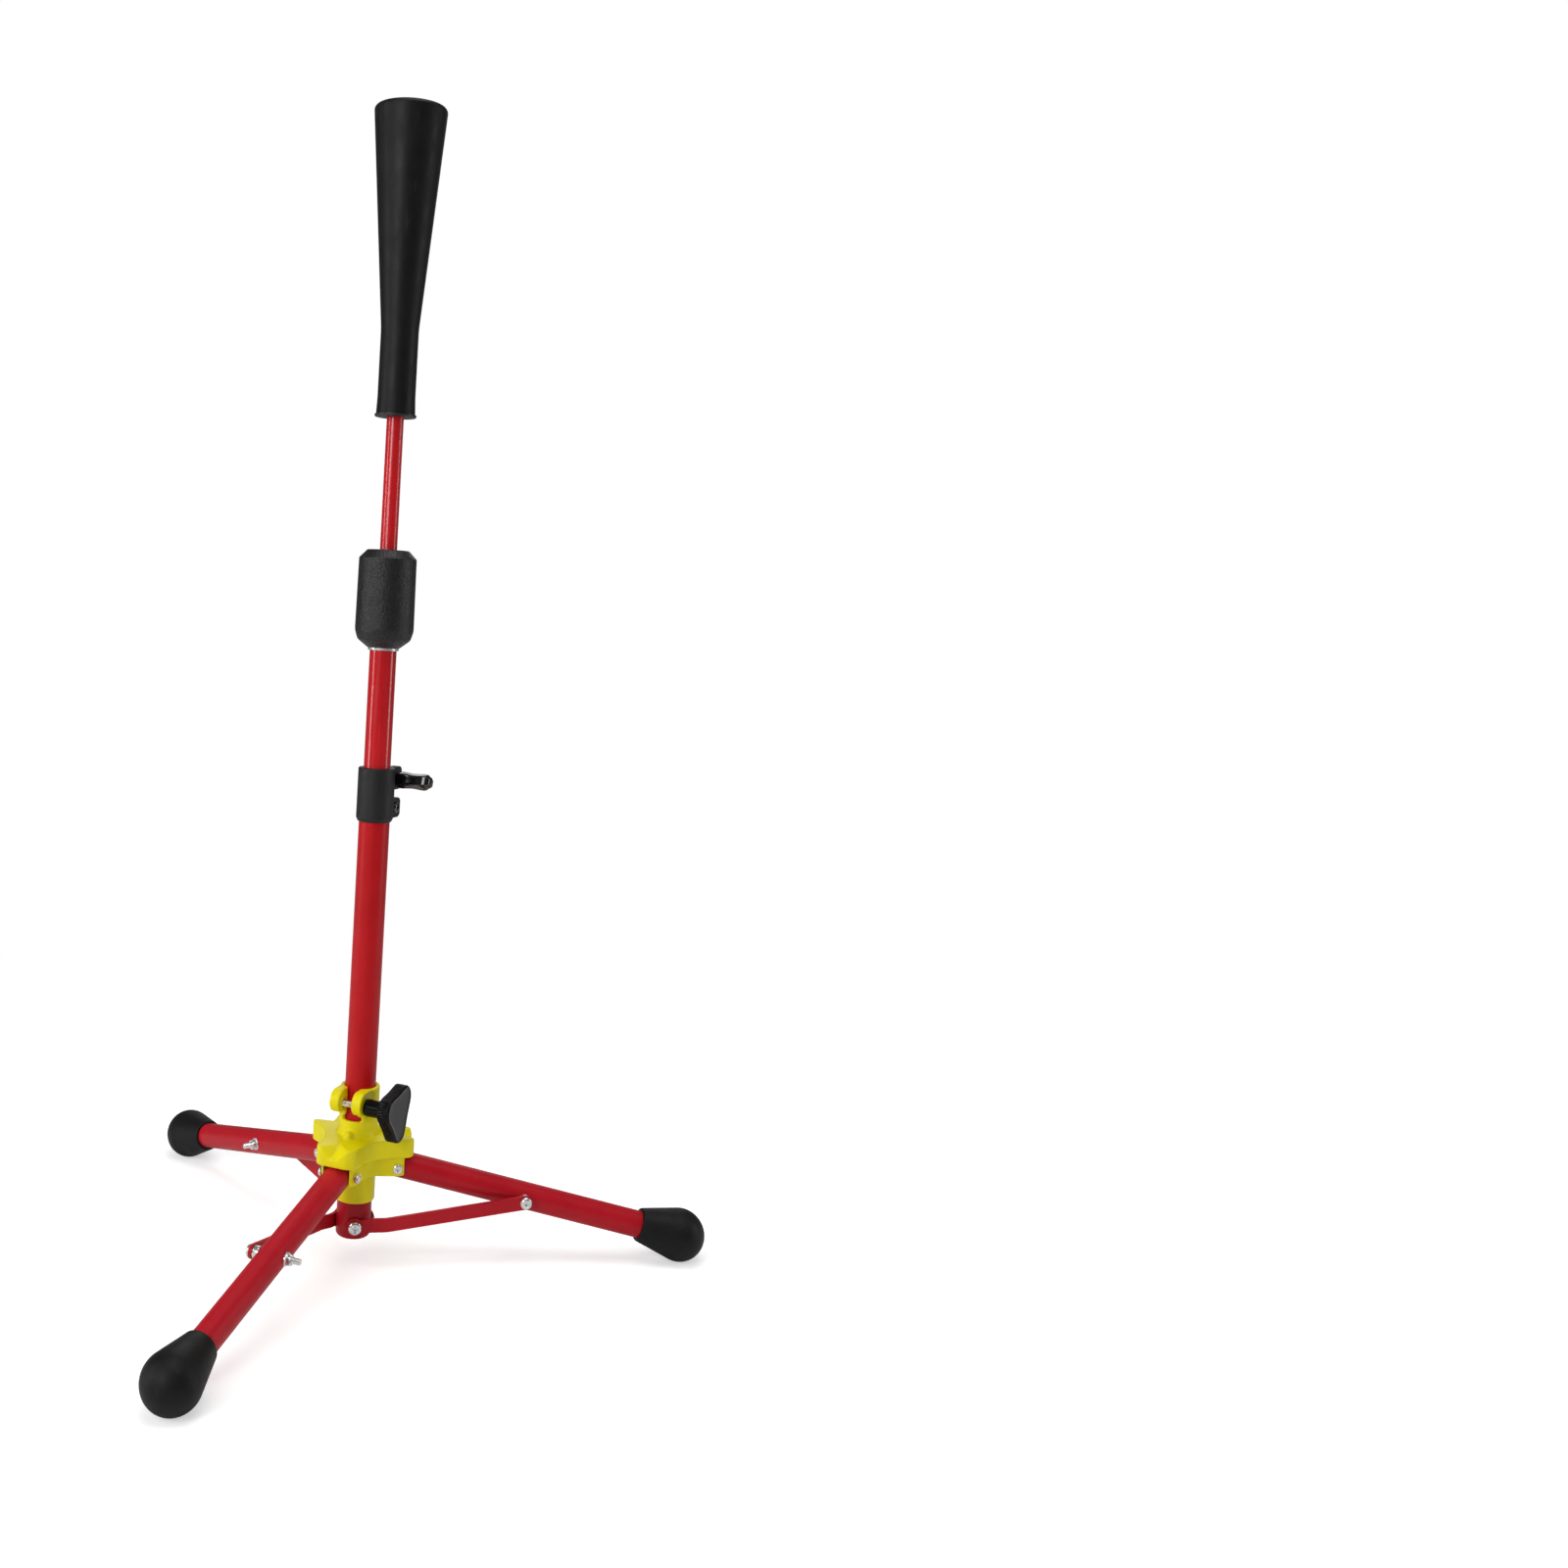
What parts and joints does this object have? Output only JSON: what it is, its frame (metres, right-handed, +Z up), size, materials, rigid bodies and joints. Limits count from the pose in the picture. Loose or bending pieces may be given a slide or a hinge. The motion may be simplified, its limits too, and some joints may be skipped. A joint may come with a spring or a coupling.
{
  "type": "batting tee",
  "caption": "Adjustable batting tee: rubber ball cone on a telescoping post, with a padded grip and a folding tripod base on rubber ball feet.",
  "frame": {"origin": "on the post's axis at floor level, midway between the three feet", "axes": "+Z up along the post; +X points along the right leg; the other legs are at 120 and 240 degrees about +Z"},
  "size_m": [0.4606, 0.5252, 0.943],
  "materials": {
    "lower_tube_red": "satin powder coat",
    "post_red": "gloss paint",
    "cast_red": "satin powder coat",
    "leg_red": "satin powder coat",
    "strut_red": "satin powder coat",
    "bush_plastic": "moulded",
    "cone_rubber": "matte moulded rubber",
    "grip_foam": "grained",
    "ring_silver": "silver",
    "collar_plastic": "moulded",
    "knob_gloss": "polished",
    "knob_satin": "satin moulded",
    "hub_yellow": "moulded",
    "zinc": "bright zinc plate",
    "foot_rubber": "matte moulded rubber"
  },
  "bodies": {
    "column": {"lower_tube": "lower_tube_red", "lower_tube_bush": "bush_plastic", "base_cup": "cast_red", "collar": "collar_plastic", "collar_clamp_nut": "zinc", "collar_fixing_screw": "zinc"},
    "collar_knob": {"collar_knob": "knob_gloss", "collar_clamp_screw": "zinc"},
    "middle_stage": {"middle_tube": "post_red", "middle_guide_bush": "bush_plastic", "friction_bush": "bush_plastic", "grip_sleeve": "grip_foam", "grip_end_ring": "ring_silver"},
    "upper_stage": {"upper_tube": "post_red", "upper_tube_stop": "bush_plastic", "cone_bush": "bush_plastic", "ball_cone": "cone_rubber"},
    "hub": {"hub": "hub_yellow", "hub_clamp_nut": "zinc", "hinge_bolt_right": "zinc", "hinge_bolt_rear": "zinc", "hinge_bolt_front": "zinc"},
    "hub_knob": {"hub_knob": "knob_satin", "hub_clamp_screw": "zinc"},
    "leg_right": {"leg_tube_right": "leg_red", "leg_end_plug_right": "bush_plastic", "foot_right": "foot_rubber", "strut_bolt_right": "zinc"},
    "strut_right": {"strut_right": "strut_red", "cup_screw_right": "zinc"},
    "leg_rear": {"leg_tube_rear": "leg_red", "leg_end_plug_rear": "bush_plastic", "foot_rear": "foot_rubber", "strut_bolt_rear": "zinc"},
    "strut_rear": {"strut_rear": "strut_red", "cup_screw_rear": "zinc"},
    "leg_front": {"leg_tube_front": "leg_red", "leg_end_plug_front": "bush_plastic", "foot_front": "foot_rubber", "strut_bolt_front": "zinc"},
    "strut_front": {"strut_front": "strut_red", "cup_screw_front": "zinc"}
  },
  "joints": [
    {"name": "middle_stage_slide", "type": "slide", "parent": "column", "child": "middle_stage", "axis": [0, 0, 1], "range_m": [-0.0955, 0.125]},
    {"name": "upper_stage_slide", "type": "slide", "parent": "middle_stage", "child": "upper_stage", "axis": [0, 0, 1], "range_m": [-0.106, 0.06]},
    {"name": "hub_slide", "type": "slide", "parent": "column", "child": "hub", "axis": [0, 0, 1], "range_m": [0, 0.1994]},
    {"name": "collar_knob_turn", "type": "hinge", "parent": "column", "child": "collar_knob", "pos_m": [0.01118, 0.01658, 0.3995], "axis": [0.829, -0.5592, 0], "range_deg": [0, 360]},
    {"name": "hub_knob_turn", "type": "hinge", "parent": "hub", "child": "hub_knob", "pos_m": [-0.0091, -0.01576, 0.136], "axis": [0.866, -0.5, 0], "range_deg": [0, 360]},
    {"name": "leg_right_fold", "type": "hinge", "parent": "hub", "child": "leg_right", "pos_m": [0.0325, 0, 0.0825], "axis": [0, 1, 0], "range_deg": [0, 74.1]},
    {"name": "strut_right_fold", "type": "hinge", "parent": "leg_right", "child": "strut_right", "pos_m": [0.14042, 0, 0.05568], "axis": [0, 1, 0], "range_deg": [-140.21, 0]},
    {"name": "leg_rear_fold", "type": "hinge", "parent": "hub", "child": "leg_rear", "pos_m": [-0.01625, 0.02815, 0.0825], "axis": [-0.866, -0.5, 0], "range_deg": [0, 74.1]},
    {"name": "strut_rear_fold", "type": "hinge", "parent": "leg_rear", "child": "strut_rear", "pos_m": [-0.07021, 0.12161, 0.05568], "axis": [-0.866, -0.5, 0], "range_deg": [-140.21, 0]},
    {"name": "leg_front_fold", "type": "hinge", "parent": "hub", "child": "leg_front", "pos_m": [-0.01625, -0.02815, 0.0825], "axis": [0.866, -0.5, 0], "range_deg": [0, 74.1]},
    {"name": "strut_front_fold", "type": "hinge", "parent": "leg_front", "child": "strut_front", "pos_m": [-0.07021, -0.12161, 0.05568], "axis": [0.866, -0.5, 0], "range_deg": [-140.21, 0]}
  ],
  "couplings": [
    {"joint": "leg_right_fold", "follows": "hub_slide", "rad_per_m": 6.4812},
    {"joint": "strut_right_fold", "follows": "hub_slide", "rad_per_m": -12.268},
    {"joint": "leg_rear_fold", "follows": "hub_slide", "rad_per_m": 6.4812},
    {"joint": "strut_rear_fold", "follows": "hub_slide", "rad_per_m": -12.268},
    {"joint": "leg_front_fold", "follows": "hub_slide", "rad_per_m": 6.4812},
    {"joint": "strut_front_fold", "follows": "hub_slide", "rad_per_m": -12.268}
  ]
}
